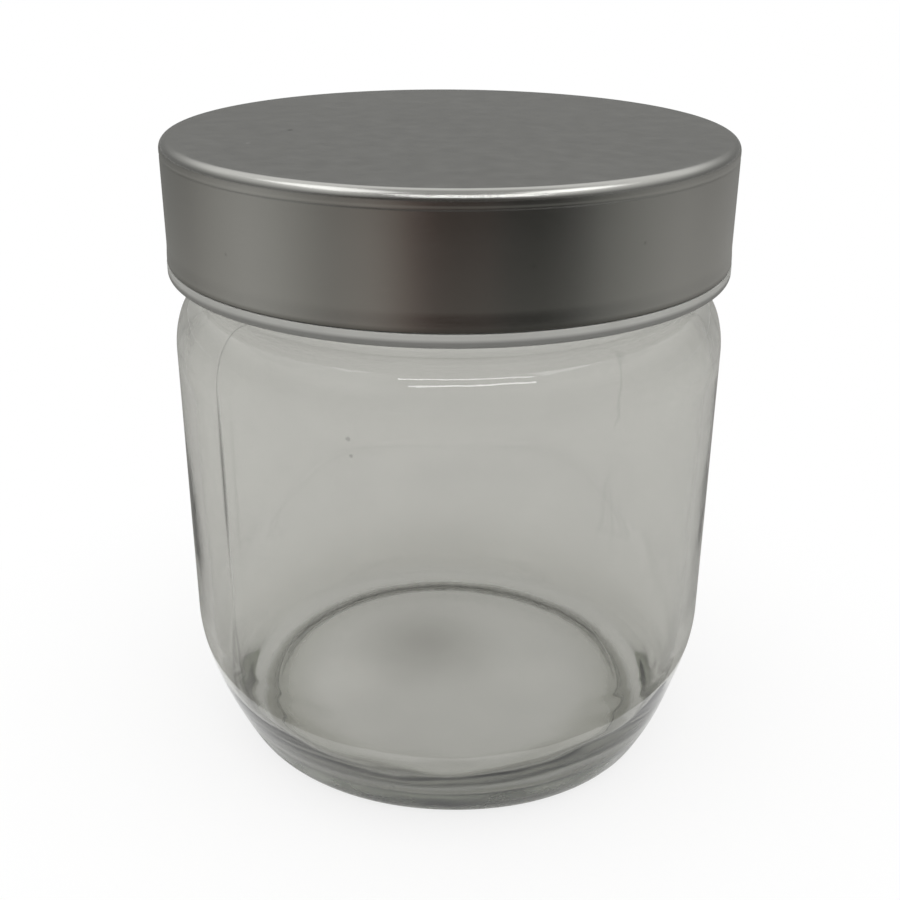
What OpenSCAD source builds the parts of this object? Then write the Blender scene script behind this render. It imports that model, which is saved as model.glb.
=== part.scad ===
// Wide-mouthed glass storage jar with a screw lid.
// The lid is a drawn steel shell over a threaded plastic insert, and holds a foam sealing disc.
// The origin is the centre of the resting face, with +Z up.

/* [Glass body] */
// Outer diameter of the glass body
jar_d = 99.6; // [97:0.2:102]
// Height of the glass from its resting face to the rim
jar_h = 112.1; // [95:0.1:150]
// Wall thickness of the body and the neck
wall_t = 2.6; // [1.8:0.1:3.6]
// Thickness of the glass floor at its centre
floor_t = 4.4; // [3:0.1:8]
// Outer diameter of the ring that the jar rests on
rest_d = 76.8; // [72:0.2:80]
// Width of the ring that the jar rests on
rest_w = 2.4; // [1.5:0.1:4]
// Height of the step just inside the resting ring
pushup_step_h = 0.9; // [0.4:0.1:1.5]
// Further rise of the domed underside towards its centre
pushup_dome_h = 0.9; // [0.3:0.1:2]
// Radius of the edge between the resting ring and the heel
base_edge_r = 4.6; // [3:0.1:6]
// Height at which the wall starts to curve in towards the base
heel_h = 25.7; // [20:0.1:32]
// Slope of the heel at the base, in degrees from upright
heel_angle = 26.5; // [22:0.5:34]
// Height of the rounded shoulder
shoulder_h = 10.2; // [6:0.2:14]

/* [Neck and thread] */
// How far the neck stands in from the side of the body
neck_step = 6.8; // [6.2:0.1:8]
// Height of the neck from the shoulder to the rim
neck_h = 23.3; // [22.6:0.1:30]
// Radius that rounds both edges of the rim
lip_r = 0.9; // [0.3:0.1:1.1]
// How far the thread ridges stand out of the neck
thread_h = 1.4; // [1:0.1:1.6]
// Number of thread starts round the neck
thread_starts = 4; // [3:1:5]
// Rise of a thread in one full turn
thread_lead = 16; // [14:0.5:20]
// Length of each thread ridge in degrees round the neck
thread_arc = 110; // [90:5:120]
// Depth of the upper end of the threads below the rim
thread_drop = 3.4; // [2.6:0.1:4.5]
// Width of a glass thread ridge where it meets the neck
ridge_root_w = 2.2; // [1.8:0.1:2.4]
// Width of a thread ridge at its crest, on the glass and on the insert
ridge_crest_w = 0.9; // [0.5:0.1:1]
// Height of the handling bead round the foot of the neck
handling_bead_h = 1.1; // [0.5:0.1:1.4]
// Width of the handling bead
handling_bead_w = 3.2; // [2:0.1:4]

/* [Lid shell] */
// How far the lid stands out over the side of the body
lid_overhang = 0.2; // [0:0.1:1]
// Height of the steel shell
shell_h = 20.9; // [18:0.1:22]
// Thickness of the steel sheet
shell_t = 0.45; // [0.3:0.05:0.7]
// Outer radius of the shell's top edge
shell_edge_r = 1.7; // [1:0.1:1.9]
// Depth of the fine groove under the top edge
groove_depth = 0.04; // [0.02:0.02:0.14]
// Width of the fine groove
groove_w = 0.9; // [0.6:0.1:1.4]
// How far the rolled lower edge stands out of the shell
hem_out = 0.14; // [0.04:0.02:0.2]
// Height of the flare above the rolled lower edge
hem_h = 3; // [2:0.1:5]

/* [Lid insert] */
// Thickness of the insert's top
insert_top_t = 1.5; // [1.2:0.1:2]
// Thickness of the threaded skirt
skirt_t = 1.5; // [1.2:0.1:1.8]
// Height of the plastic rim that shows under the shell
rim_h = 2.3; // [1.6:0.1:2.6]
// How far the rim stands out of the side of the shell
rim_out = 0.2; // [0:0.05:0.4]
// Thickness of the rim's wall inside the shell
rim_t = 1.5; // [1.2:0.1:1.8]
// Radius of the rim's rounded lower edge
rim_edge_r = 0.7; // [0.3:0.1:1]
// Thickness of the web that joins the rim to the skirt
web_t = 1.2; // [0.8:0.1:1.6]
// Height of the rim inside the shell
rim_lap = 2.2; // [1.8:0.1:3]
// Number of ribs that centre the shell
rib_count = 16; // [12:2:36]
// Thickness of each rib
rib_t = 1; // [0.6:0.1:1.6]
// Width of an insert thread ridge where it meets the skirt
insert_ridge_root_w = 2; // [1.6:0.1:2.2]

/* [Sealing disc] */
// Thickness of the foam sealing disc
seal_t = 1.5; // [1:0.1:2.5]
// How far the insert's holding bead reaches under the disc's edge
seal_hold = 0.2; // [0.1:0.05:0.3]

/* [Clearances] */
// Radial gap between a thread crest and the wall that faces it
thread_gap = 0.5; // [0.35:0.05:0.6]
// Gap between the glass and insert threads when the lid is closed
thread_seat_gap = 0.35; // [0.25:0.05:0.5]
// Radial gap between the shell and the insert inside it
shell_fit = 0.1; // [0.05:0.05:0.15]
// Radial gap round the sealing disc
seal_gap = 0.3; // [0.2:0.05:0.4]

/* [Hidden] */
$fn = 180;

// Curve steps: points along an arc or a curve, and degrees between the sections of a thread
arc_steps = 4;
curve_steps = 8;
thread_step = 7.5;
// Points closer than this count as one point
least_step = 0.0001;

// Glass outline
jar_r = jar_d / 2;
neck_r = jar_r - neck_step;
mouth_r = neck_r - wall_t;
inner_r = jar_r - wall_t;
neck_fillet_r = 0.8;
mouth_fillet_r = 2;
rest_out_r = rest_d / 2;
rest_in_r = rest_out_r - rest_w;
step_w = 1.3;
dome_r = rest_in_r - step_w;
heel_foot = [rest_out_r + base_edge_r * cos(heel_angle), base_edge_r * (1 - sin(heel_angle))];
heel_knee_z = heel_foot.y + (jar_r - heel_foot.x) / tan(heel_angle);
shoulder_top_z = jar_h - neck_h;
shoulder_z = shoulder_top_z - shoulder_h;
shoulder_w = jar_r - neck_r - neck_fillet_r;
inner_shoulder_tilt = 25;
inner_shoulder_drop = 9;
mouth_fillet_z = shoulder_top_z - wall_t + mouth_fillet_r;
mouth_fillet_foot = [mouth_r + mouth_fillet_r * (1 - sin(inner_shoulder_tilt)),
    mouth_fillet_z - mouth_fillet_r * cos(inner_shoulder_tilt)];
inner_shoulder_z = mouth_fillet_foot.y - (inner_r - mouth_fillet_foot.x) * tan(inner_shoulder_tilt);
floor_edge_drop = 1.2;
floor_z = pushup_step_h + pushup_dome_h + floor_t;
floor_edge_z = floor_z - floor_edge_drop;
inner_heel_w = 12;
floor_r = inner_r - inner_heel_w;
handling_bead_rise = 5;
handling_bead_z = shoulder_top_z + handling_bead_rise;

// Thread
thread_rise = thread_lead * thread_arc / 360;
thread_foot_z = jar_h - thread_drop - thread_rise;
thread_fade = 12;
thread_bite = 0.4;
ridge_crest_r = neck_r + thread_h;
insert_crest_r = neck_r + thread_gap;
ridge_half_w = ridge_root_w / 2 - (ridge_root_w - ridge_crest_w) / 2 * thread_gap / thread_h;
insert_thread_drop = ridge_half_w + ridge_crest_w / 2 + thread_seat_gap;

// Lid levels, worked up from the rim of the glass
lid_r = jar_r + lid_overhang;
seal_top_z = jar_h + seal_t;
insert_top_z = seal_top_z + insert_top_t;
lid_top_z = insert_top_z + shell_t;
shell_foot_z = lid_top_z - shell_h;
rim_foot_z = shell_foot_z - rim_h;
web_top_z = shell_foot_z + rim_lap;

// Lid radii
shell_in_r = lid_r - shell_t;
hem_r = 0.4;
hem_lip_h = 0.8;
hem_slope_h = 0.4;
rim_r = shell_in_r - 2 * shell_fit;
rim_face_r = lid_r + rim_out;
rib_r = shell_in_r - shell_fit;
skirt_in_r = neck_r + thread_h + thread_gap;
skirt_out_r = skirt_in_r + skirt_t;
insert_edge_r = shell_edge_r - shell_t + shell_fit;
skirt_foot_lift = 0.5;
rib_bite = 0.3;
groove_drop = shell_edge_r + groove_w;
seal_bead_h = seal_gap + seal_hold;
seal_bead_w = 1;
seal_r = skirt_in_r - seal_gap;

// Points along an elliptical arc from angle a0 to a1
function arc(centre, rx, ry, a0, a1, steps = arc_steps) =
    [for (i = [0:steps]) let (a = a0 + (a1 - a0) * i / steps) centre + [rx * cos(a), ry * sin(a)]];

// Points along a quadratic curve with one control point
function bend(p0, p1, p2, steps = curve_steps) =
    [for (i = [0:steps]) let (t = i / steps) (1 - t) * (1 - t) * p0 + 2 * t * (1 - t) * p1 + t * t * p2];

// A smooth bump on an upright wall, from its foot to its head; height is negative for a groove
function bump(r, z, width, height, steps = curve_steps) =
    [for (i = [0:steps]) let (s = 2 * i / steps - 1) [r + height * (1 + cos(180 * s)) / 2, z + s * width / 2]];

// The same outline without points that repeat the one before
function tidy(points) =
    [for (i = [0:len(points) - 1]) if (i == 0 || norm(points[i] - points[i - 1]) > least_step) points[i]];

// Outside of the glass, from the middle of the underside up to the rim
function glass_outside() = concat(
    arc([0, pushup_step_h], dome_r, pushup_dome_h, 90, 0),
    [[rest_in_r, 0]],
    arc([rest_out_r, base_edge_r], base_edge_r, base_edge_r, -90, -heel_angle),
    bend(heel_foot, [jar_r, heel_knee_z], [jar_r, heel_h]),
    arc([jar_r - shoulder_w, shoulder_z], shoulder_w, shoulder_h, 0, 90, curve_steps),
    arc([neck_r + neck_fillet_r, shoulder_top_z + neck_fillet_r], neck_fillet_r, neck_fillet_r, 270, 180),
    bump(neck_r, handling_bead_z, handling_bead_w, handling_bead_h),
    arc([neck_r - lip_r, jar_h - lip_r], lip_r, lip_r, 0, 90)
);

// Inside of the glass, from the rim down to the middle of the floor
function glass_inside() = concat(
    arc([mouth_r + lip_r, jar_h - lip_r], lip_r, lip_r, 90, 180),
    arc([mouth_r + mouth_fillet_r, mouth_fillet_z], mouth_fillet_r, mouth_fillet_r,
        180, 270 - inner_shoulder_tilt),
    bend(mouth_fillet_foot, [inner_r, inner_shoulder_z], [inner_r, inner_shoulder_z - inner_shoulder_drop]),
    arc([floor_r, heel_h], inner_heel_w, heel_h - floor_edge_z, 0, -90, curve_steps),
    arc([0, floor_edge_z], floor_r, floor_edge_drop, 0, 90)
);

// Outline of the shell's sheet, outside first
function shell_outline() = concat(
    [[0, lid_top_z]],
    arc([lid_r - shell_edge_r, lid_top_z - shell_edge_r], shell_edge_r, shell_edge_r, 90, 0),
    [for (p = bump(lid_r, groove_drop - lid_top_z, groove_w, -groove_depth)) [p.x, -p.y]],
    [for (i = [0:arc_steps]) let (s = i / arc_steps)
        [lid_r + hem_out * (1 - cos(180 * s)) / 2, shell_foot_z + hem_r + hem_h * (1 - s)]],
    arc([lid_r + hem_out - hem_r, shell_foot_z + hem_r], hem_r, hem_r, 0, -90),
    [[rim_r + shell_fit, shell_foot_z], [rim_r + shell_fit, shell_foot_z + hem_lip_h]],
    [[shell_in_r, shell_foot_z + hem_lip_h + hem_slope_h]],
    arc([lid_r - shell_edge_r, lid_top_z - shell_edge_r],
        shell_edge_r - shell_t, shell_edge_r - shell_t, 0, 90),
    [[0, insert_top_z]]
);

// Outline of the insert without its ribs and threads
function insert_outline() = concat(
    [[0, insert_top_z]],
    arc([rib_r - insert_edge_r, insert_top_z - insert_edge_r], insert_edge_r, insert_edge_r, 90, 0),
    [[rib_r, seal_top_z], [skirt_out_r, seal_top_z]],
    [[skirt_out_r, web_top_z], [rim_r, web_top_z], [rim_r, shell_foot_z], [rim_face_r, shell_foot_z]],
    arc([rim_face_r - rim_edge_r, rim_foot_z + rim_edge_r], rim_edge_r, rim_edge_r, 0, -90),
    [[rim_r - rim_t, rim_foot_z], [rim_r - rim_t, web_top_z - web_t]],
    [[skirt_out_r, web_top_z - web_t], [skirt_out_r, rim_foot_z + skirt_foot_lift]],
    [[skirt_in_r, rim_foot_z + skirt_foot_lift]],
    bump(skirt_in_r, jar_h - seal_bead_w / 2, seal_bead_w, -seal_bead_h),
    [[skirt_in_r, seal_top_z], [0, seal_top_z]]
);

// One thread ridge that climbs as it goes round; both ends sink into the wall that carries it
module thread_ridge(wall_r, crest_r, root_w, foot_z) {
    outward = crest_r > wall_r ? 1 : -1;
    height = abs(crest_r - wall_r);
    steps = ceil(thread_arc / thread_step);
    corner_count = 4;
    points = [for (i = [0:steps]) let (
            a = thread_arc * i / steps,
            z = foot_z + thread_lead * a / 360,
            fade = min(1, a / thread_fade, (thread_arc - a) / thread_fade),
            root = wall_r - outward * thread_bite,
            crest = wall_r - outward * thread_bite / 2 + outward * (height + thread_bite / 2) * fade,
            half_root = root_w / 2,
            half_crest = ridge_crest_w / 2)
        for (p = [[root, -half_root * outward], [crest, -half_crest * outward],
                  [crest, half_crest * outward], [root, half_root * outward]])
            [p.x * cos(a), p.x * sin(a), z + p.y]];
    sides = [for (i = [0:steps - 1]) for (j = [0:corner_count - 1]) let (
            a = i * corner_count + j,
            b = i * corner_count + (j + 1) % corner_count,
            c = b + corner_count,
            d = a + corner_count)
        each [[a, b, c], [a, c, d]]];
    polyhedron(points, concat(
        [[for (j = [corner_count - 1:-1:0]) j]],
        sides,
        [[for (j = [0:corner_count - 1]) steps * corner_count + j]]));
}

// The ring of thread ridges, one for each start
module thread_ridges(wall_r, crest_r, root_w, foot_z) {
    for (i = [0:thread_starts - 1]) {
        rotate([0, 0, i * 360 / thread_starts])
            thread_ridge(wall_r, crest_r, root_w, foot_z);
    }
}

module glass_jar() {
    color("lightcyan", 0.45) {
        rotate_extrude() polygon(tidy(concat(glass_outside(), glass_inside())));
        thread_ridges(neck_r, ridge_crest_r, ridge_root_w, thread_foot_z);
    }
}

// One upright rib between the skirt and the shell
module centring_rib() {
    translate([skirt_out_r - rib_bite, -rib_t / 2, web_top_z - rib_bite])
        cube([rib_r - skirt_out_r + rib_bite, rib_t, seal_top_z - web_top_z + rib_bite]);
}

module lid_insert() {
    color("whitesmoke") {
        rotate_extrude() polygon(tidy(insert_outline()));
        thread_ridges(skirt_in_r, insert_crest_r, insert_ridge_root_w, thread_foot_z - insert_thread_drop);
        for (i = [0:rib_count - 1]) {
            rotate([0, 0, (i + 1 / 2) * 360 / rib_count]) centring_rib();
        }
    }
}

module lid_shell() {
    color("silver") rotate_extrude() polygon(tidy(shell_outline()));
}

module sealing_disc() {
    color("white") translate([0, 0, jar_h]) cylinder(r = seal_r, h = seal_t);
}

glass_jar();
lid_insert();
lid_shell();
sealing_disc();
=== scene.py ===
"""Looks of a wide-mouthed glass storage jar with a brushed metal screw lid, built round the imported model."""

import math

import bmesh
import bpy
from mathutils import Matrix, Vector, noise


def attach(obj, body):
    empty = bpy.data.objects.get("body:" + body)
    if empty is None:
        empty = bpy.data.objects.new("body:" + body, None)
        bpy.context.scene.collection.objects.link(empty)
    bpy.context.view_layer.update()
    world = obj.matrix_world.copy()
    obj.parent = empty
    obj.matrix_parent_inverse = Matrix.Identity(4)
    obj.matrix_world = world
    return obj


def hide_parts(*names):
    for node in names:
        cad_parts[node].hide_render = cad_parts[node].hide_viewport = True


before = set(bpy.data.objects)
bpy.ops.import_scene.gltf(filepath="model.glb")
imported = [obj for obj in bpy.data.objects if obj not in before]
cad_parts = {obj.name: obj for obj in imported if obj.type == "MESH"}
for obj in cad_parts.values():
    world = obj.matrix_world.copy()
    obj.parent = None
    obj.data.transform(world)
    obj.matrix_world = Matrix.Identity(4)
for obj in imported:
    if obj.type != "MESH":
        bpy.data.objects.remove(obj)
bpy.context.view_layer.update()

MM = 0.001
TURN = 2 * math.pi

# Glass sizes, in millimetres
JAR_R = 49.8
JAR_H = 112.1
WALL = 2.6
NECK_R = 43
NECK_H = 23.3
LIP_R = 0.9
SHOULDER_H = 10.2
HEEL_H = 25.7
HEEL_ANGLE = 26.5
REST_OUT_R = 38.4
REST_IN_R = 36
BASE_EDGE_R = 4.6
PUSHUP_STEP_W = 1.3
PUSHUP_STEP_H = 0.9
PUSHUP_DOME_H = 0.9
FLOOR_T = 4.4
FLOOR_EDGE_DROP = 1.2
INNER_HEEL_W = 12
NECK_FILLET_R = 0.8
MOUTH_FILLET_R = 2
INNER_SHOULDER_TILT = 25
INNER_SHOULDER_DROP = 9
BEAD_RISE = 5
BEAD_W = 3.2
BEAD_H = 1.1

# Sizes of the thread, in millimetres and degrees
THREAD_STARTS = 4
THREAD_LEAD = 16
THREAD_ARC = 110
THREAD_FADE = 12
THREAD_DROP = 3.4
THREAD_H = 1.4
THREAD_GAP = 0.5
THREAD_SEAT_GAP = 0.35
RIDGE_ROOT_W = 2.2
RIDGE_CREST_W = 0.9
INSERT_RIDGE_ROOT_W = 2

# Lid sizes, in millimetres
LID_R = 50
LID_TOP = 115.55
SHELL_H = 20.9
SHELL_T = 0.45
SHELL_EDGE_R = 1.7
GROOVE_W = 0.9
GROOVE_DEPTH = 0.04
HEM_OUT = 0.14
HEM_H = 3
HEM_R = 0.4
HEM_LIP_H = 0.8
HEM_SLOPE_H = 0.4
SHELL_FIT = 0.1
INSERT_TOP_T = 1.5
SKIRT_T = 1.5
SKIRT_FOOT_LIFT = 0.5
RIM_H = 2.3
RIM_OUT = 0.2
RIM_T = 1.5
RIM_EDGE_R = 0.7
RIM_LEDGE_R = 0.15
RIM_LAP = 2.2
WEB_T = 1.2
SEAL_T = 1.5
SEAL_GAP = 0.3
SEAL_BEAD_H = 0.5
SEAL_BEAD_W = 1
DISC_EDGE_R = 0.25

# Levels and radii that follow
inner_r = JAR_R - WALL
mouth_r = NECK_R - WALL
shoulder_top_z = JAR_H - NECK_H
shoulder_z = shoulder_top_z - SHOULDER_H
floor_z = PUSHUP_STEP_H + PUSHUP_DOME_H + FLOOR_T
floor_edge_z = floor_z - FLOOR_EDGE_DROP
thread_foot_z = JAR_H - THREAD_DROP - THREAD_LEAD * THREAD_ARC / 360
insert_top_z = LID_TOP - SHELL_T
seal_top_z = insert_top_z - INSERT_TOP_T
shell_foot_z = LID_TOP - SHELL_H
rim_foot_z = shell_foot_z - RIM_H
web_top_z = shell_foot_z + RIM_LAP
shell_in_r = LID_R - SHELL_T
rim_r = shell_in_r - 2 * SHELL_FIT
rim_face_r = LID_R + RIM_OUT
insert_r = shell_in_r - SHELL_FIT
skirt_in_r = NECK_R + THREAD_H + THREAD_GAP
skirt_out_r = skirt_in_r + SKIRT_T

# Mould seams, as angles round the axis, with their heights and the widths of their lines, in millimetres
SEAM_ANGLES = [math.radians(220.8), math.radians(40.8)]
SEAM_HEIGHTS = [0.06, 0.02]
SEAM_W = 0.8
# Half widths of the painted shade line along the seams, at the shoulder and half way down
SEAM_FINE, SEAM_WIDE = 0.3, 0.9
SEAM_LOW_Z, SEAM_FULL_Z = 24, 50
# Legs of painted shade that split from the seam line low on the heel
SEAM_LEG_TOP_Z = 36
SEAM_LEG_SPREAD = 0.13
SEAM_LEG_W = 0.9

# Ripple of the pressed glass, and the fuller foot at one side, in millimetres and angles
OUTER_RIPPLE = 0.03
INNER_RIPPLE = 0.06
SHOULDER_RIPPLE = 0.05
HEEL_STREAK = 0.06
INNER_STREAK = 0.12
STREAK_LEAST = 0.1
STREAK_REACH = math.radians(120)
FOOT_FULLNESS = 1.1
FOOT_ANGLE = math.radians(310)
FOOT_REACH = math.radians(50)

# Tones of the glass. The outer surfaces carry nearly all of it, so thin and thick glass keep one tone
OUTER_TONES = ((0.503, 0.498, 0.474), (0.54, 0.535, 0.508))
INNER_TONES = ((0.99, 0.99, 0.985), (1, 1, 0.995))
DEPTH_TONE = (0.42, 0.46, 0.36, 1)
DEPTH_DENSITY = 20
# Painted shade along the mould seams
SEAM_SHADE_TONE = (0.083, 0.083, 0.077)
# Painted shade on the inner floor and painted light under the base
SHADE_PATCH_TONE = (0.55, 0.55, 0.53)
LIGHT_PATCH_TONE = (0.64, 0.63, 0.6)
# Painted shade toward the resting ring and low on the heel
FOOT_SHADE_TONE = (0.285, 0.285, 0.23)
STREAK_TONE = (0.16, 0.16, 0.14)
SPECK_TONE = (0.16, 0.16, 0.15)

# Places of the painted shade and painted light patches on the base, of the streak and of the specks, in
# millimetres, each with its reach
SHADE_PATCH = (-4.5, 7.5, 21)
LIGHT_PATCH = (-21, -4, 14)
FAINT_LIGHT_PATCH = (17, -3, 12)
FAINT_SHARE = 0.6
STREAK_PLACE, STREAK_PLACE_REACH = (30.3, -37.2, 14.6), 20
STREAK_SLOPE, STREAK_DROP = 0.71, 6.3
STREAK_SHARE = 0.3
GLASS_SPECKS = (((-15.31, -47.39, 76.97), 0.5), ((-14.92, -47.51, 74.19), 0.4))
SPECK_SHARE = 0.6
DARK_LID_SPECK, DARK_LID_SPECK_REACH = (-27.69, -2.18, LID_TOP), 0.7
PALE_LID_SPECK, PALE_LID_SPECK_REACH = (-33.08, -14.77, LID_TOP), 0.5


def arc(r, z, rx, rz, start, end, steps):
    """Points along an elliptical arc about (r, z), from start to end degrees."""
    angles = [math.radians(start + (end - start) * i / steps) for i in range(steps + 1)]
    return [(r + rx * math.cos(a), z + rz * math.sin(a)) for a in angles]


def bend(first, control, last, steps):
    """Points along a quadratic curve."""
    points = []
    for i in range(steps + 1):
        t = i / steps
        weights = ((1 - t) ** 2, 2 * t * (1 - t), t * t)
        points.append(tuple(sum(w * p[k] for w, p in zip(weights, (first, control, last))) for k in (0, 1)))
    return points


def bump(r, z, width, height, steps=16):
    """A smooth bump on an upright wall, from its foot to its head; height is negative for a groove."""
    points = []
    for i in range(steps + 1):
        s = 2 * i / steps - 1
        points.append((r + height * (1 + math.cos(math.pi * s)) / 2, z + s * width / 2))
    return points


def joined(*runs, step=2.0):
    """The runs end to end, with points about a step apart along the straight stretches between them."""
    points = []
    for run in runs:
        for i, p in enumerate(run):
            if points and i == 0:
                last = points[-1]
                count = max(1, round(math.dist(last, p) / step))
                points += [tuple(a + (b - a) * k / count for a, b in zip(last, p)) for k in range(1, count)]
            if not points or math.dist(p, points[-1]) > 0.002:
                points.append(p)
    return points


def ring_angles(count, seams=()):
    """Angles round the axis, closer together at the mould seams."""
    angles = {round(TURN * i / count, 6) for i in range(count)}
    for seam in seams:
        angles |= {round((seam + math.radians(k * 0.12)) % TURN, 6) for k in range(-8, 9)}
    ordered = sorted(angles)
    return [a for i, a in enumerate(ordered) if i == 0 or a - ordered[i - 1] > 0.0008]


def turned(name, outline, angles, shape=None):
    """A smooth closed mesh turned round the Z axis from an outline of (r, z) points in millimetres.

    The outline runs from the axis back to the axis. shape moves each point."""
    bm = bmesh.new()
    rings = []
    for i, (r, z) in enumerate(outline):
        if r < 0.001:
            rings.append([bm.verts.new((0, 0, z * MM))])
            continue
        ring = []
        for a in angles:
            rr, zz = shape(i, r, z, a) if shape else (r, z)
            ring.append(bm.verts.new((rr * math.cos(a) * MM, rr * math.sin(a) * MM, zz * MM)))
        rings.append(ring)
    n = len(angles)
    for low, high in zip(rings, rings[1:]):
        for j in range(n):
            k = (j + 1) % n
            if len(low) == 1:
                bm.faces.new((low[0], high[k], high[j]))
            elif len(high) == 1:
                bm.faces.new((low[j], low[k], high[0]))
            else:
                bm.faces.new((low[j], low[k], high[k], high[j]))
    bmesh.ops.recalc_face_normals(bm, faces=bm.faces)
    for f in bm.faces:
        f.smooth = True
    mesh = bpy.data.meshes.new(name)
    bm.to_mesh(mesh)
    bm.free()
    piece = bpy.data.objects.new(name, mesh)
    bpy.context.scene.collection.objects.link(piece)
    return piece


def thread_height(z, angle, foot_z, root_w, height):
    """How far a thread ridge stands out of its wall at a height and angle."""
    best = 0
    for start in range(THREAD_STARTS):
        along = math.degrees((angle - TURN * start / THREAD_STARTS) % TURN)
        if along > THREAD_ARC:
            continue
        off = abs(z - foot_z - THREAD_LEAD * along / 360)
        flank = (root_w - RIDGE_CREST_W) / 2
        rise = min(1, max(0, (root_w / 2 - off) / flank))
        fade = min(1, along / THREAD_FADE, (THREAD_ARC - along) / THREAD_FADE)
        best = max(best, height * rise * rise * (3 - 2 * rise) * fade)
    return best


def ripple(angle, z, seed, around=2.2, along=0.045):
    """Slow, even ripple between -1 and 1 over a cylinder."""
    place = (around * math.cos(angle) + seed, around * math.sin(angle) - seed, z * along + seed)
    return max(-1, min(1, 1.6 * noise.noise(place)))


def seam_height(angle, r):
    """Height of the mould seams at an angle."""
    best = 0
    for seam, height in zip(SEAM_ANGLES, SEAM_HEIGHTS):
        off = abs((angle - seam + math.pi) % TURN - math.pi) * r
        best = max(best, height * math.exp(-((off / (SEAM_W / 2)) ** 2)))
    return best


def facing(angle, middle, width):
    """1 at a middle angle, falling smoothly to 0 at a width to either side."""
    off = abs((angle - middle + math.pi) % TURN - math.pi)
    return math.cos(min(1, off / width) * math.pi / 2) ** 2


def smooth_step(low, high, x):
    t = min(1, max(0, (x - low) / (high - low)))
    return t * t * (3 - 2 * t)


# Glass body
heel_cos, heel_sin = math.cos(math.radians(HEEL_ANGLE)), math.sin(math.radians(HEEL_ANGLE))
heel_foot = (REST_OUT_R + BASE_EDGE_R * heel_cos, BASE_EDGE_R * (1 - heel_sin))
heel_knee_z = heel_foot[1] + (JAR_R - heel_foot[0]) * heel_cos / heel_sin
shoulder_w = JAR_R - NECK_R - NECK_FILLET_R
mouth_fillet_z = shoulder_top_z - WALL + MOUTH_FILLET_R
inner_tilt = math.radians(INNER_SHOULDER_TILT)
mouth_fillet_foot = (mouth_r + MOUTH_FILLET_R * (1 - math.sin(inner_tilt)),
                     mouth_fillet_z - MOUTH_FILLET_R * math.cos(inner_tilt))
inner_shoulder_z = mouth_fillet_foot[1] - (inner_r - mouth_fillet_foot[0]) * math.tan(inner_tilt)
floor_r = inner_r - INNER_HEEL_W

glass_out = joined(
    arc(0, PUSHUP_STEP_H, REST_IN_R - PUSHUP_STEP_W, PUSHUP_DOME_H, 90, 0, 24),
    bend((REST_IN_R - PUSHUP_STEP_W, PUSHUP_STEP_H), (REST_IN_R - PUSHUP_STEP_W * 0.3, PUSHUP_STEP_H * 0.8),
         (REST_IN_R, 0), 8),
    arc(REST_OUT_R, BASE_EDGE_R, BASE_EDGE_R, BASE_EDGE_R, -90, -HEEL_ANGLE, 8),
    bend(heel_foot, (JAR_R, heel_knee_z), (JAR_R, HEEL_H), 44),
    arc(JAR_R - shoulder_w, shoulder_z, shoulder_w, SHOULDER_H, 0, 90, 26),
    arc(NECK_R + NECK_FILLET_R, shoulder_top_z + NECK_FILLET_R, NECK_FILLET_R, NECK_FILLET_R, 270, 180, 8),
    bump(NECK_R, shoulder_top_z + BEAD_RISE, BEAD_W, BEAD_H),
    [(NECK_R, thread_foot_z - RIDGE_ROOT_W)],
    [(NECK_R, z) for z in [thread_foot_z - RIDGE_ROOT_W + 0.3 * i for i in range(1, 26)]],
    arc(NECK_R - LIP_R, JAR_H - LIP_R, LIP_R, LIP_R, 0, 90, 8),
)
glass_in = joined(
    arc(mouth_r + LIP_R, JAR_H - LIP_R, LIP_R, LIP_R, 90, 180, 8),
    arc(mouth_r + MOUTH_FILLET_R, mouth_fillet_z, MOUTH_FILLET_R, MOUTH_FILLET_R,
        180, 270 - INNER_SHOULDER_TILT, 10),
    bend(mouth_fillet_foot, (inner_r, inner_shoulder_z),
         (inner_r, inner_shoulder_z - INNER_SHOULDER_DROP), 20),
    arc(floor_r, HEEL_H, INNER_HEEL_W, HEEL_H - floor_edge_z, 0, -90, 40),
    arc(0, floor_edge_z, floor_r, FLOOR_EDGE_DROP, 0, 90, 24),
)
glass_outline = glass_out + glass_in


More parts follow.
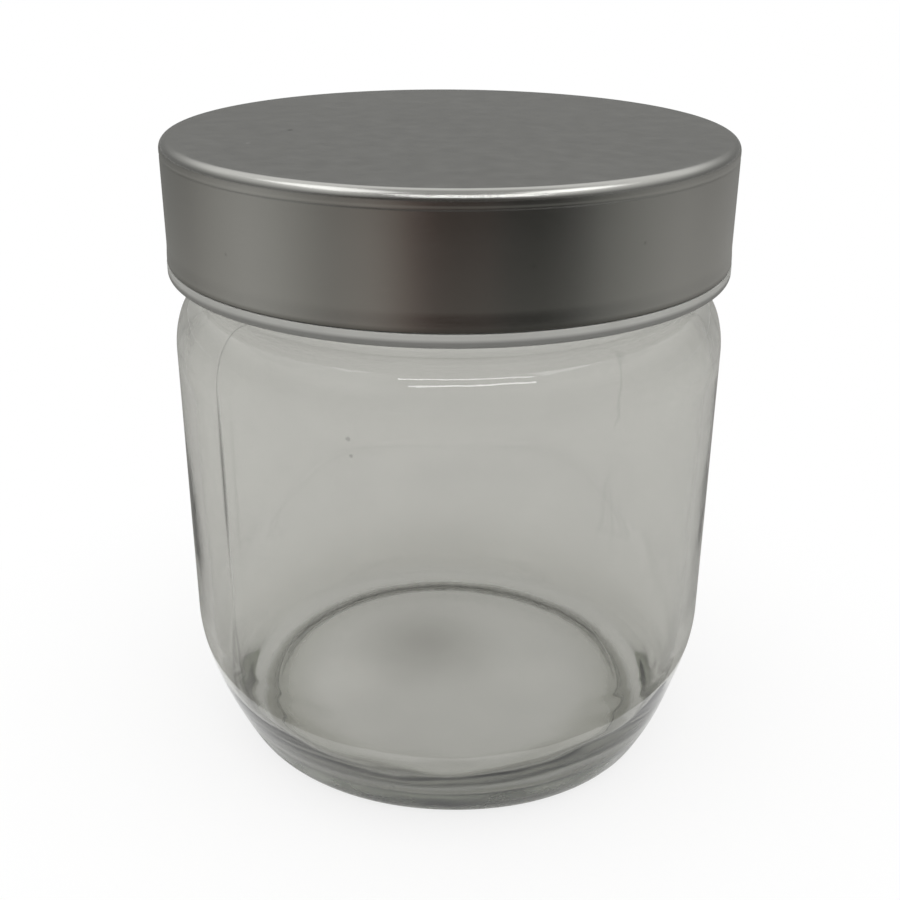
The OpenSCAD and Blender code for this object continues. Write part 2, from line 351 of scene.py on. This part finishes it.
def glass_shape(i, r, z, angle):
    """Threads, mould seams, ripple and the streaked heel of the glass."""
    streak_share = STREAK_LEAST + (1 - STREAK_LEAST) * facing(angle, FOOT_ANGLE, STREAK_REACH)
    if i < len(glass_out):
        if abs(r - NECK_R) < 0.001 and z > thread_foot_z - RIDGE_ROOT_W:
            r += thread_height(z, angle, thread_foot_z, RIDGE_ROOT_W, THREAD_H)
        wall = smooth_step(2, 9, z) * (1 - smooth_step(shoulder_top_z - 2, shoulder_top_z, z))
        r += wall * smooth_step(SEAM_LOW_Z, SEAM_FULL_Z, z) * seam_height(angle, r)
        r -= wall * OUTER_RIPPLE * (1 + ripple(angle, z, 3.1)) / 2
        shoulder = smooth_step(shoulder_z, shoulder_z + 3, z)
        shoulder *= 1 - smooth_step(shoulder_top_z - 1, shoulder_top_z, z)
        r -= shoulder * SHOULDER_RIPPLE * (1 + ripple(angle, z, 2.7, 22, 0.3)) / 2
        heel = smooth_step(0.5, 4, z) * (1 - smooth_step(14, HEEL_H, z)) * streak_share
        r -= heel * HEEL_STREAK * (1 + ripple(angle, z, 5.3, 4.5, 0.34)) / 2
        low_outside = smooth_step(REST_OUT_R - 1, REST_OUT_R + 3, r) * (1 - smooth_step(6, 16, z))
        r += low_outside * FOOT_FULLNESS * facing(angle, FOOT_ANGLE, FOOT_REACH)
    else:
        wall = smooth_step(floor_z, 30, z) * (1 - smooth_step(shoulder_z, shoulder_top_z, z))
        r += wall * INNER_RIPPLE * ripple(angle, z, 8.7)
        low = 1 - smooth_step(floor_z + 8, 30, z)
        heel = low * smooth_step(floor_r - 6, floor_r + 2, r) * streak_share
        r -= heel * INNER_STREAK * ripple(angle, z, 1.9, 5, 0.3)
        z += low * INNER_RIPPLE * noise.noise((r * math.cos(angle) / 16, r * math.sin(angle) / 16, 5))
    return r, z


glass = turned("glass_body", glass_outline, ring_angles(360, SEAM_ANGLES), glass_shape)

# Lid shell
corner_r, corner_z = LID_R - SHELL_EDGE_R, LID_TOP - SHELL_EDGE_R
groove_z = LID_TOP - SHELL_EDGE_R - GROOVE_W
hem_run = []
for i in range(17):
    s = i / 16
    hem_run.append((LID_R + HEM_OUT * (1 - math.cos(math.pi * s)) / 2,
                    shell_foot_z + HEM_R + HEM_H * (1 - s)))
shell_outline = joined(
    [(0, LID_TOP)],
    arc(corner_r, corner_z, SHELL_EDGE_R, SHELL_EDGE_R, 90, 0, 16),
    bump(LID_R, groove_z, GROOVE_W, -GROOVE_DEPTH)[::-1],
    hem_run,
    arc(LID_R + HEM_OUT - HEM_R, shell_foot_z + HEM_R, HEM_R, HEM_R, 0, -90, 8),
    [(rim_r + SHELL_FIT, shell_foot_z), (rim_r + SHELL_FIT, shell_foot_z + HEM_LIP_H)],
    [(shell_in_r, shell_foot_z + HEM_LIP_H + HEM_SLOPE_H)],
    arc(corner_r, corner_z, SHELL_EDGE_R - SHELL_T, SHELL_EDGE_R - SHELL_T, 0, 90, 10),
    [(0, insert_top_z)],
    step=5,
)
shell = turned("metal_shell", shell_outline, ring_angles(360))

# Lid insert
insert_edge_r = SHELL_EDGE_R - SHELL_T + SHELL_FIT
insert_thread_drop = (
    RIDGE_ROOT_W / 2 - (RIDGE_ROOT_W - RIDGE_CREST_W) / 2 * THREAD_GAP / THREAD_H
    + RIDGE_CREST_W / 2 + THREAD_SEAT_GAP
)
insert_foot_z = thread_foot_z - insert_thread_drop
insert_thread_rows = [(skirt_in_r, insert_foot_z - INSERT_RIDGE_ROOT_W + 0.3 * i) for i in range(28)]
insert_outline = joined(
    [(0, insert_top_z)],
    arc(insert_r - insert_edge_r, insert_top_z - insert_edge_r, insert_edge_r, insert_edge_r, 90, 0, 8),
    [(insert_r, seal_top_z), (skirt_out_r, seal_top_z)],
    [(skirt_out_r, web_top_z), (rim_r, web_top_z), (rim_r, shell_foot_z)],
    arc(rim_face_r - RIM_LEDGE_R, shell_foot_z - RIM_LEDGE_R, RIM_LEDGE_R, RIM_LEDGE_R, 90, 0, 4),
    arc(rim_face_r - RIM_EDGE_R, rim_foot_z + RIM_EDGE_R, RIM_EDGE_R, RIM_EDGE_R, 0, -90, 10),
    [(rim_r - RIM_T, rim_foot_z), (rim_r - RIM_T, web_top_z - WEB_T)],
    [(skirt_out_r, web_top_z - WEB_T), (skirt_out_r, rim_foot_z + SKIRT_FOOT_LIFT)],
    [(skirt_in_r, rim_foot_z + SKIRT_FOOT_LIFT)],
    insert_thread_rows,
    bump(skirt_in_r, JAR_H - SEAL_BEAD_W / 2, SEAL_BEAD_W, -SEAL_BEAD_H),
    [(skirt_in_r, seal_top_z), (0, seal_top_z)],
    step=5,
)


def insert_shape(i, r, z, angle):
    """Threads inside the insert's skirt."""
    if abs(r - skirt_in_r) < 0.001 and insert_foot_z - INSERT_RIDGE_ROOT_W < z < JAR_H - SEAL_BEAD_W:
        r -= thread_height(z, angle, insert_foot_z, INSERT_RIDGE_ROOT_W, THREAD_H)
    return r, z


insert = turned("plastic_insert", insert_outline, ring_angles(360), insert_shape)

# Sealing disc
disc_r = skirt_in_r - SEAL_GAP
disc_outline = joined(
    [(0, JAR_H)],
    arc(disc_r - DISC_EDGE_R, JAR_H + DISC_EDGE_R, DISC_EDGE_R, DISC_EDGE_R, -90, 0, 5),
    arc(disc_r - DISC_EDGE_R, JAR_H + SEAL_T - DISC_EDGE_R, DISC_EDGE_R, DISC_EDGE_R, 0, 90, 5),
    [(0, JAR_H + SEAL_T)],
    step=4,
)
disc = turned("foam_disc", disc_outline, ring_angles(240))


# Materials
def material(name):
    """A new node material, its node tree and its main shader."""
    made = bpy.data.materials.new(name)
    made.use_nodes = True
    return made, made.node_tree, made.node_tree.nodes["Principled BSDF"]


def node(tree, kind, **values):
    """A new node; a value goes to the input of that name, or else to the node's own setting."""
    made = tree.nodes.new(kind)
    for key, value in values.items():
        label = key.replace("_", " ").title() if key[0].isupper() else None
        if label and label in made.inputs:
            made.inputs[label].default_value = value
        else:
            setattr(made, key, value)
    return made


def noise_of(tree, vector, scale, detail=3.0, roughness=0.5):
    """The value of a noise texture over a vector."""
    made = node(tree, "ShaderNodeTexNoise", Scale=scale, Detail=detail, Roughness=roughness)
    tree.links.new(vector, made.inputs["Vector"])
    return made.outputs["Fac"]


def mapped(tree, value, low, high, from_low=0.3, from_high=0.7):
    """A value stretched to run from low to high."""
    made = node(tree, "ShaderNodeMapRange")
    for key, number in (("From Min", from_low), ("From Max", from_high), ("To Min", low), ("To Max", high)):
        made.inputs[key].default_value = number
    tree.links.new(value, made.inputs["Value"])
    return made.outputs["Result"]


def mixed(tree, factor, first, second):
    """A colour between two colours."""
    made = node(tree, "ShaderNodeMix", data_type="RGBA")
    for key, colour in (("A", first), ("B", second)):
        socket = [s for s in made.inputs if s.name == key and s.type == "RGBA"][0]
        if isinstance(colour, tuple):
            socket.default_value = (*colour, 1)
        else:
            tree.links.new(colour, socket)
    tree.links.new(factor, made.inputs["Factor"])
    return [s for s in made.outputs if s.type == "RGBA"][0]


def stretched(tree, scale):
    """Object coordinates, scaled."""
    place = node(tree, "ShaderNodeTexCoord")
    made = node(tree, "ShaderNodeMapping")
    made.inputs["Scale"].default_value = scale
    tree.links.new(place.outputs["Object"], made.inputs["Vector"])
    return made.outputs["Vector"]


def bumped(tree, shader, height, strength, distance):
    """A bump on a shader from a height."""
    made = node(tree, "ShaderNodeBump", Strength=strength, Distance=distance)
    tree.links.new(height, made.inputs["Height"])
    tree.links.new(made.outputs["Normal"], shader.inputs["Normal"])


def distance_from_axis(tree):
    """Distance of a point from the jar's axis."""
    made = node(tree, "ShaderNodeVectorMath", operation="LENGTH")
    tree.links.new(stretched(tree, (1, 1, 0)), made.inputs[0])
    return made.outputs["Value"]


def combined(tree, operation, first, second):
    """Two values put together by a Math node."""
    made = node(tree, "ShaderNodeMath", operation=operation)
    for socket, value in zip(made.inputs, (first, second)):
        if isinstance(value, (int, float)):
            socket.default_value = value
        else:
            tree.links.new(value, socket)
    return made.outputs["Value"]


def product(tree, *values):
    """The values multiplied."""
    made = values[0]
    for value in values[1:]:
        made = combined(tree, "MULTIPLY", made, value)
    return made


def place_of(tree):
    """The X, Y and Z of a point."""
    made = node(tree, "ShaderNodeSeparateXYZ")
    tree.links.new(stretched(tree, (1, 1, 1)), made.inputs[0])
    return [made.outputs[axis] for axis in "XYZ"]


def height_above_floor(tree):
    """Height of a point above the floor."""
    return place_of(tree)[2]


def between(tree, value, low, high, soft):
    """1 where a value lies between two limits, with soft ends."""
    rising = mapped(tree, value, 0, 1, low - soft, low)
    falling = mapped(tree, value, 1, 0, high, high + soft)
    return product(tree, rising, falling)


def spot(tree, x, y, reach):
    """1 above a point of the floor given in millimetres, falling smoothly to 0 at a distance from it."""
    made = node(tree, "ShaderNodeVectorMath", operation="DISTANCE")
    tree.links.new(stretched(tree, (1, 1, 0)), made.inputs[0])
    made.inputs[1].default_value = (x * MM, y * MM, 0)
    share = mapped(tree, made.outputs["Value"], 1, 0, 0, reach * MM)
    share.node.interpolation_type = "SMOOTHSTEP"
    return share


def near(tree, point, reach):
    """1 near a point given in millimetres, falling to 0 at a distance from it."""
    made = node(tree, "ShaderNodeVectorMath", operation="DISTANCE")
    tree.links.new(stretched(tree, (1, 1, 1)), made.inputs[0])
    made.inputs[1].default_value = [v * MM for v in point]
    return mapped(tree, made.outputs["Value"], 1, 0, reach * MM / 2, reach * MM)


def outside(tree):
    """1 on the outer surface of the glass, above the base, and 0 on the inner one and under the base."""
    height = height_above_floor(tree)
    limit = combined(tree, "ADD", mapped(tree, height, 0, 3.5 * MM, MM, 8 * MM),
                     mapped(tree, height, 40 * MM, 44.3 * MM, 8 * MM, 18 * MM))
    limit = combined(tree, "SUBTRACT", limit,
                     mapped(tree, height, 0, 6.2 * MM, 80 * MM, shoulder_top_z * MM))
    beyond = combined(tree, "SUBTRACT", distance_from_axis(tree), limit)
    return mapped(tree, beyond, 0, 1, 0, 0.5 * MM)


def painted_seam_shade(tree):
    """1 along the mould seams, for painted shade where the seam ridge bends the light: finest at the shoulder,
    widest half way down, and split into two legs low on the heel.
    """
    x, y, height = place_of(tree)
    angle = SEAM_ANGLES[0]
    across = combined(tree, "SUBTRACT", product(tree, x, math.sin(angle)), product(tree, y, math.cos(angle)))
    off = combined(tree, "ABSOLUTE", across, 0)
    fine, wide = SEAM_FINE * MM, SEAM_WIDE * MM
    half_w = combined(tree, "MINIMUM", mapped(tree, height, wide, fine, 68 * MM, 80 * MM),
                      mapped(tree, height, fine, wide, 46 * MM, 58 * MM))
    line = mapped(tree, combined(tree, "DIVIDE", off, half_w), 1, 0, 0.1, 1)
    strength = combined(tree, "MINIMUM", mapped(tree, height, 1, 0.5, 68 * MM, 80 * MM),
                        mapped(tree, height, 0.15, 1, 42 * MM, 56 * MM))
    spread = product(tree, combined(tree, "SUBTRACT", SEAM_LEG_TOP_Z * MM, height), SEAM_LEG_SPREAD)
    off_leg = combined(tree, "ABSOLUTE", combined(tree, "SUBTRACT", off, spread), 0)
    shade_legs = product(tree, mapped(tree, off_leg, 1, 0, 0, SEAM_LEG_W * MM),
                   between(tree, height, 20 * MM, 32 * MM, 5 * MM), 0.5)
    marks = combined(tree, "MAXIMUM", product(tree, line, strength), shade_legs)
    return product(tree, marks, outside(tree), mapped(tree, y, 1, 0.2, -MM, MM))


def foot_shade(tree, radius, height, y):
    """Painted shade on the glass toward the resting ring, under it and low on the heel, heavier at the front.
    """
    toward_rest = mapped(tree, radius, 0, 1, 25 * MM, 37 * MM)
    toward_rest.node.interpolation_type = "SMOOTHSTEP"
    under_heel = product(tree, toward_rest,
                         mapped(tree, radius, 1, 0, REST_OUT_R * MM, (REST_OUT_R + 1) * MM),
                         mapped(tree, height, 1, 0, 2 * MM, 3 * MM),
                         mapped(tree, y, 1, 0.3, -15 * MM, 25 * MM))
    low_heel = product(tree, mapped(tree, height, 0.3, 0, 10 * MM, 24 * MM), outside(tree),
                       mapped(tree, height, 0, 1, 2 * MM, 5 * MM))
    return combined(tree, "MAXIMUM", under_heel, low_heel)


def heel_streaks(tree, x, height):
    """A mottled band that climbs the heel at one side."""
    mottle = mapped(tree, noise_of(tree, stretched(tree, (1, 1, 4)), 70, 3), 0, 1, 0.4, 0.6)
    climb = combined(tree, "SUBTRACT", product(tree, x, STREAK_SLOPE), STREAK_DROP * MM)
    off_climb = combined(tree, "ABSOLUTE", combined(tree, "SUBTRACT", height, climb), 0)
    return product(tree, mapped(tree, off_climb, 1, 0, 2 * MM, 5.5 * MM),
                   near(tree, STREAK_PLACE, STREAK_PLACE_REACH), mottle, outside(tree), STREAK_SHARE)


def glass_tint(tree, radius, x, y, height):
    """Colour of the glass's surfaces, with painted shade along its seams, painted shade and light in patches
    on the base, painted shade at its foot, and its streaks and specks.
    """
    broad = mapped(tree, noise_of(tree, stretched(tree, (1, 1, 1)), 38, 2), 0, 1)
    under_base = mapped(tree, height, 1, 0, 2 * MM, 3 * MM)
    on_floor = product(tree, mapped(tree, height, 1, 0, floor_z * MM, (floor_z + 1) * MM),
                       mapped(tree, height, 0, 1, 3 * MM, 4 * MM))
    tint = mixed(tree, combined(tree, "MAXIMUM", outside(tree), under_base),
                 mixed(tree, broad, *INNER_TONES), mixed(tree, broad, *OUTER_TONES))
    # Painted shade along the mould seams, where the ridge bends the light
    tint = mixed(tree, painted_seam_shade(tree), tint, SEAM_SHADE_TONE)
    # Painted shade on the inner floor, and painted light patches under the base
    tint = mixed(tree, product(tree, on_floor, spot(tree, *SHADE_PATCH)), tint, SHADE_PATCH_TONE)
    light_patches = combined(tree, "MAXIMUM", spot(tree, *LIGHT_PATCH),
                          product(tree, spot(tree, *FAINT_LIGHT_PATCH), FAINT_SHARE))
    tint = mixed(tree, product(tree, under_base, light_patches), tint, LIGHT_PATCH_TONE)
    # Painted shade toward the resting ring, under it and low on the heel
    tint = mixed(tree, foot_shade(tree, radius, height, y), tint, FOOT_SHADE_TONE)
    tint = mixed(tree, heel_streaks(tree, x, height), tint, STREAK_TONE)
    specks = combined(tree, "MAXIMUM", *[near(tree, place, reach) for place, reach in GLASS_SPECKS])
    return mixed(tree, product(tree, specks, SPECK_SHARE), tint, SPECK_TONE)


def glass_roughness(tree, radius, y, height):
    """Polished walls, a stippled resting ring and a patchy front of the heel."""
    fine = noise_of(tree, stretched(tree, (1, 1, 1)), 420, 3)
    on_ring = product(tree, between(tree, radius, (REST_IN_R - PUSHUP_STEP_W) * MM, REST_OUT_R * MM, 3 * MM),
                      mapped(tree, height, 1, 0, 1.2 * MM, 1.8 * MM), mapped(tree, fine, 0.35, 0.6))
    patchy = noise_of(tree, stretched(tree, (1, 1, 3)), 120, 3)
    on_heel = product(tree, mapped(tree, radius, 0, 1, REST_OUT_R * MM, (REST_OUT_R + 1) * MM),
                      mapped(tree, height, 1, 0, 6 * MM, 14 * MM),
                      mapped(tree, y, 1, 0, -20 * MM, 10 * MM), mapped(tree, patchy, 0.15, 0.35))
    return combined(tree, "MAXIMUM", combined(tree, "MAXIMUM", on_ring, on_heel), mapped(tree, fine, 0, 0.02))


def glass_material():
    made, tree, shader = material("clear_glass")
    shader.inputs["Transmission Weight"].default_value = 1
    shader.inputs["IOR"].default_value = 1.5
    radius = distance_from_axis(tree)
    x, y, height = place_of(tree)
    tree.links.new(glass_tint(tree, radius, x, y, height), shader.inputs["Base Color"])
    tree.links.new(glass_roughness(tree, radius, y, height), shader.inputs["Roughness"])
    peel = product(tree, noise_of(tree, stretched(tree, (1, 1, 0.6)), 260, 2),
                   mapped(tree, height, 0.15, 1, 25 * MM, 45 * MM))
    bumped(tree, shader, peel, 0.25, 0.04 * MM)
    inside = node(tree, "ShaderNodeVolumeAbsorption", Color=DEPTH_TONE, Density=DEPTH_DENSITY)
    tree.links.new(inside.outputs["Volume"], tree.nodes["Material Output"].inputs["Volume"])
    return made


def metal_material():
    made, tree, shader = material("brushed_metal")
    shader.inputs["Metallic"].default_value = 1
    broad = noise_of(tree, stretched(tree, (1, 1, 1)), 45, 2)
    colour = mixed(tree, mapped(tree, broad, 0, 1), (0.49, 0.488, 0.468), (0.51, 0.508, 0.488))
    specks = node(tree, "ShaderNodeTexVoronoi", Scale=160)
    tree.links.new(stretched(tree, (1, 1, 1)), specks.inputs["Vector"])
    dirt = product(tree, mapped(tree, specks.outputs["Distance"], 1, 0, 0.03, 0.06), 0.3)
    dirt = combined(tree, "MAXIMUM", dirt, near(tree, DARK_LID_SPECK, DARK_LID_SPECK_REACH))
    speckled = mixed(tree, dirt, colour, (0.2, 0.2, 0.18))
    speckled = mixed(tree, near(tree, PALE_LID_SPECK, PALE_LID_SPECK_REACH), speckled, (0.75, 0.75, 0.72))
    # Painted shade along the foot of the shell, where the rolled hem turns away from the light
    hem_shade = mapped(tree, height_above_floor(tree), 1, 0, (shell_foot_z + 0.1) * MM, (shell_foot_z + 1) * MM)
    tree.links.new(mixed(tree, hem_shade, speckled, (0.2, 0.195, 0.18)), shader.inputs["Base Color"])
    grain = noise_of(tree, stretched(tree, (0.3, 0.3, 9)), 900, 2, 0.6)
    tree.links.new(mapped(tree, grain, 0.21, 0.26), shader.inputs["Roughness"])
    bumped(tree, shader, grain, 0.05, 0.01 * MM)
    return made


def plastic_material():
    made, tree, shader = material("pale_plastic")
    broad = noise_of(tree, stretched(tree, (1, 1, 1)), 90, 3)
    colour = mixed(tree, mapped(tree, broad, 0, 1), (0.40, 0.40, 0.38), (0.44, 0.44, 0.42))
    # Painted shade on the rounded lower edge of the rim, which faces down toward the glass shoulder
    rim_underside_shade = mapped(tree, height_above_floor(tree), 1, 0, (rim_foot_z + 0.9) * MM, (rim_foot_z + 1.5) * MM)
    shaded = mixed(tree, rim_underside_shade, colour, (0.2, 0.2, 0.19))
    tree.links.new(shaded, shader.inputs["Base Color"])
    fine = noise_of(tree, stretched(tree, (1, 1, 1)), 1500, 2)
    tree.links.new(mapped(tree, fine, 0.35, 0.5), shader.inputs["Roughness"])
    bumped(tree, shader, fine, 0.15, 0.02 * MM)
    return made


def foam_material():
    made, tree, shader = material("white_foam")
    cells = node(tree, "ShaderNodeTexVoronoi", Scale=2600)
    tree.links.new(stretched(tree, (1, 1, 1)), cells.inputs["Vector"])
    colour = mixed(tree, cells.outputs["Distance"], (0.72, 0.72, 0.70), (0.80, 0.80, 0.78))
    tree.links.new(colour, shader.inputs["Base Color"])
    shader.inputs["Roughness"].default_value = 0.75
    bumped(tree, shader, cells.outputs["Distance"], 0.3, 0.08 * MM)
    return made


dress = (
    (glass, "jar", "glass_jar", "glass", glass_material),
    (shell, "lid", "lid_shell", "lid_metal", metal_material),
    (insert, "lid", "lid_insert", "insert_plastic", plastic_material),
    (disc, "seal", "sealing_disc", "seal_foam", foam_material),
)
for piece, body, cad_node, slot, maker in dress:
    finish = maker()
    piece.data.materials.append(finish)
    cad_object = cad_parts[cad_node]
    cad_object.data.materials.clear()
    cad_object.data.materials.append(finish)
    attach(piece, body)
    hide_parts(cad_node)


# Studio
def lit_as_background(tree, shader_socket, camera_share, mirror_share, glass_share, output):
    """Mixes a shader with plain white light, for what the camera sees, and gloss and glass."""
    path = node(tree, "ShaderNodeLightPath")
    white = node(tree, "ShaderNodeEmission", Color=(1, 1, 1, 1), Strength=1)
    share = product(tree, path.outputs["Is Camera Ray"], camera_share)
    for ray, most in (("Is Glossy Ray", mirror_share), ("Is Transmission Ray", glass_share)):
        share = combined(tree, "MAXIMUM", share, product(tree, path.outputs[ray], most))
    mix = node(tree, "ShaderNodeMixShader")
    tree.links.new(share, mix.inputs["Fac"])
    tree.links.new(shader_socket, mix.inputs[1])
    tree.links.new(white.outputs["Emission"], mix.inputs[2])
    tree.links.new(mix.outputs["Shader"], output)


FLOOR_R = 6.0
FLOOR_Z = -0.05 * MM
WHITE_PAST_JAR = 0.75
HEEL_SHADOW = 0.4
floor_mesh = bpy.data.meshes.new("floor")
floor_bm = bmesh.new()
bmesh.ops.create_circle(floor_bm, cap_ends=True, segments=96, radius=FLOOR_R)
bmesh.ops.translate(floor_bm, verts=floor_bm.verts, vec=(0, 0, FLOOR_Z))
floor_bm.to_mesh(floor_mesh)
floor_bm.free()
floor = bpy.data.objects.new("floor", floor_mesh)
bpy.context.scene.collection.objects.link(floor)
floor_paint, floor_tree, floor_shader = material("floor_paint")
floor_shader.inputs["Base Color"].default_value = (0.92, 0.92, 0.92, 1)
floor_shader.inputs["Roughness"].default_value = 0.9
floor_reach = distance_from_axis(floor_tree)
in_heel_shadow = product(floor_tree, mapped(floor_tree, place_of(floor_tree)[1], 1, 0, -30 * MM, 10 * MM),
                         mapped(floor_tree, floor_reach, 0, 1, 27 * MM, 39 * MM),
                         mapped(floor_tree, floor_reach, 1, 0, 40 * MM, 43 * MM))
seen_past_jar = combined(floor_tree, "SUBTRACT", WHITE_PAST_JAR,
                         product(floor_tree, in_heel_shadow, HEEL_SHADOW))
lit_as_background(floor_tree, floor_shader.outputs["BSDF"],
                  mapped(floor_tree, floor_reach, 0.8, 1, 55 * MM, 120 * MM), seen_past_jar, seen_past_jar,
                  floor_tree.nodes["Material Output"].inputs["Surface"])
floor_mesh.materials.append(floor_paint)

# The room: grey at the sides, dark low in front, paler high up behind and beside the jar, and white where
# the camera sees past the floor
SIDE_TONE, TOP_TONE = (0.22, 0.22, 0.215), (0.5, 0.5, 0.49)
LOW_FRONT_TONE = (0.06, 0.055, 0.05)
PALE_TONE = (1, 1, 0.98)
world = bpy.data.worlds.new("studio")
bpy.context.scene.world = world
world.use_nodes = True
room = world.node_tree
direction = node(room, "ShaderNodeTexCoord")
toward = node(room, "ShaderNodeSeparateXYZ")
room.links.new(direction.outputs["Generated"], toward.inputs[0])
sideways, back, up = (toward.outputs[axis] for axis in "XYZ")
side_tone = mixed(room, mapped(room, up, 0, 1, 0.6, 1), SIDE_TONE, TOP_TONE)
high_behind = product(room, mapped(room, up, 0, 1, 0.33, 0.55), mapped(room, back, 0, 1, 0, 0.4))
high_beside = product(room, mapped(room, up, 0, 0.9, 0.2, 0.75),
                      mapped(room, combined(room, "ABSOLUTE", sideways, 0), 0, 1, 0.25, 0.6))
pale_share = product(room, mapped(room, up, 1, 0, 0.85, 0.98),
                     combined(room, "MAXIMUM", high_behind, high_beside))
low_in_front = product(room, mapped(room, up, 1, 0, 0.3, 0.5), mapped(room, back, 1, 0, -0.85, -0.5))
room_tone = mixed(room, pale_share, mixed(room, low_in_front, side_tone, LOW_FRONT_TONE), PALE_TONE)
sky = room.nodes["Background"]
room.links.new(room_tone, sky.inputs["Color"])
sky.inputs["Strength"].default_value = 1
below_horizon = mapped(room, up, 1, 0, -0.02, 0)
low_behind_glass = mapped(room, up, 0.9, 0, 0.1, 0.6)
lit_as_background(room, sky.outputs["Background"], 1, below_horizon, low_behind_glass,
                  room.nodes["World Output"].inputs["Surface"])


def softbox(name, azimuth, elevation, distance, width, height, radiance, in_gloss=True):
    """A soft lamp that looks at the jar. Azimuth 0 is in front, 90 to the right."""
    data = bpy.data.lights.new(name, "AREA")
    data.shape = "RECTANGLE"
    data.size, data.size_y = width, height
    data.energy = radiance * math.pi * width * height
    lamp = bpy.data.objects.new(name, data)
    bpy.context.scene.collection.objects.link(lamp)
    a, e = math.radians(azimuth), math.radians(elevation)
    away = Vector((math.sin(a) * math.cos(e), -math.cos(a) * math.cos(e), math.sin(e)))
    aim = Vector((0, 0, LID_TOP * MM / 2))
    lamp.location = aim + away * distance
    lamp.rotation_euler = (-away).to_track_quat("-Z", "Y").to_euler()
    lamp.visible_camera = False
    lamp.visible_transmission = False
    lamp.visible_glossy = in_gloss


softbox("front_strip", 11, 41, 1.2, 0.95, 0.05, 9)
softbox("high_strip", 8, 54, 1.2, 0.95, 0.04, 9)
softbox("left_box", -78, 63, 1.2, 0.75, 0.5, 1.35)
softbox("right_box", 68, 57, 1.2, 0.55, 0.42, 1.6)
softbox("overhead_fill", 0, 80, 2, 2, 2, 1.3, in_gloss=False)

# Graded card on the floor round the jar, dark in front, seen only in gloss, as a studio sets one for metal
CARD_NEAR, CARD_FAR = 0.056, 5.9
CARD_SECTIONS = 72
card_mesh = bpy.data.meshes.new("graded_card")
card_bm = bmesh.new()
card_rows = []
for i in range(CARD_SECTIONS):
    a = TURN * i / CARD_SECTIONS
    across, along = math.sin(a), -math.cos(a)
    card_rows.append([card_bm.verts.new((r * across, r * along, MM)) for r in (CARD_NEAR, CARD_FAR)])
for first, second in zip(card_rows, card_rows[1:] + card_rows[:1]):
    card_bm.faces.new((first[0], second[0], second[1], first[1]))
card_bm.to_mesh(card_mesh)
card_bm.free()
card = bpy.data.objects.new("graded_card", card_mesh)
bpy.context.scene.collection.objects.link(card)
card_paint, card_tree, card_shader = material("card_paint")
card_x, card_y, _ = place_of(card_tree)
azimuth = combined(card_tree, "ARCTAN2", card_x, product(card_tree, card_y, -1))
CARD_TONES = (
    (-180, (0.217, 0.217, 0.209)), (-140, (0.217, 0.217, 0.209)), (-115, (0.248, 0.244, 0.235)),
    (-100, (0.331, 0.326, 0.313)), (-80, (0.409, 0.405, 0.392)), (-68, (0.374, 0.37, 0.357)),
    (-51, (0.267, 0.26, 0.246)), (-43, (0.209, 0.2, 0.191)), (-28, (0.23, 0.21, 0.195)),
    (-21, (0.19, 0.165, 0.15)), (-14, (0.115, 0.085, 0.075)), (-6, (0.044, 0.028, 0.024)),
    (4, (0.036, 0.026, 0.022)), (13, (0.048, 0.036, 0.032)), (21, (0.024, 0.023, 0.022)),
    (30, (0.018, 0.018, 0.016)), (36, (0.024, 0.024, 0.022)), (43, (0.044, 0.044, 0.042)),
    (51, (0.1, 0.1, 0.096)), (59, (0.17, 0.17, 0.163)), (78, (0.27, 0.268, 0.259)),
    (95, (0.335, 0.331, 0.322)), (115, (0.313, 0.309, 0.3)), (140, (0.313, 0.309, 0.3)),
    (180, (0.217, 0.217, 0.209)),
)
CARD_NEAR_TONE = (0.46, 0.455, 0.43)
round_share = mapped(card_tree, azimuth, 0, 1, -math.pi, math.pi)
tones = node(card_tree, "ShaderNodeValToRGB")
while len(tones.color_ramp.elements) < len(CARD_TONES):
    tones.color_ramp.elements.new(0.5)
for stop, (angle, colour) in zip(tones.color_ramp.elements, CARD_TONES):
    stop.position = angle / 360 + 0.5
    stop.color = (*colour, 1)
card_tree.links.new(round_share, tones.inputs["Fac"])
nearness = mapped(card_tree, distance_from_axis(card_tree), 0.2, 0, 0.32, 0.52)
card_tree.links.new(mixed(card_tree, nearness, tones.outputs["Color"], CARD_NEAR_TONE),
                    card_shader.inputs["Base Color"])
card_shader.inputs["Roughness"].default_value = 1
card_shader.inputs["Specular IOR Level"].default_value = 0
card_mesh.materials.append(card_paint)
for ray in ("camera", "diffuse", "transmission", "shadow"):
    setattr(card, "visible_" + ray, False)

# Camera, at the photograph's place
LENS = 49.78
CAMERA_BACK, CAMERA_UP = 0.22139, 0.15264
PITCH, YAW, ROLL = 23.985, 0.082, 0.333
camera_data = bpy.data.cameras.new("camera")
camera_data.lens = LENS
camera_data.sensor_width = 36
camera_data.clip_start = 0.01
camera = bpy.data.objects.new("camera", camera_data)
bpy.context.scene.collection.objects.link(camera)
turn = (Matrix.Rotation(math.radians(-YAW), 4, "Z") @ Matrix.Rotation(math.radians(90 - PITCH), 4, "X")
        @ Matrix.Rotation(math.radians(ROLL), 4, "Z"))
camera.matrix_world = Matrix.Translation((0, -CAMERA_BACK, CAMERA_UP)) @ turn
bpy.context.scene.camera = camera
bpy.context.scene.view_settings.view_transform = "Standard"
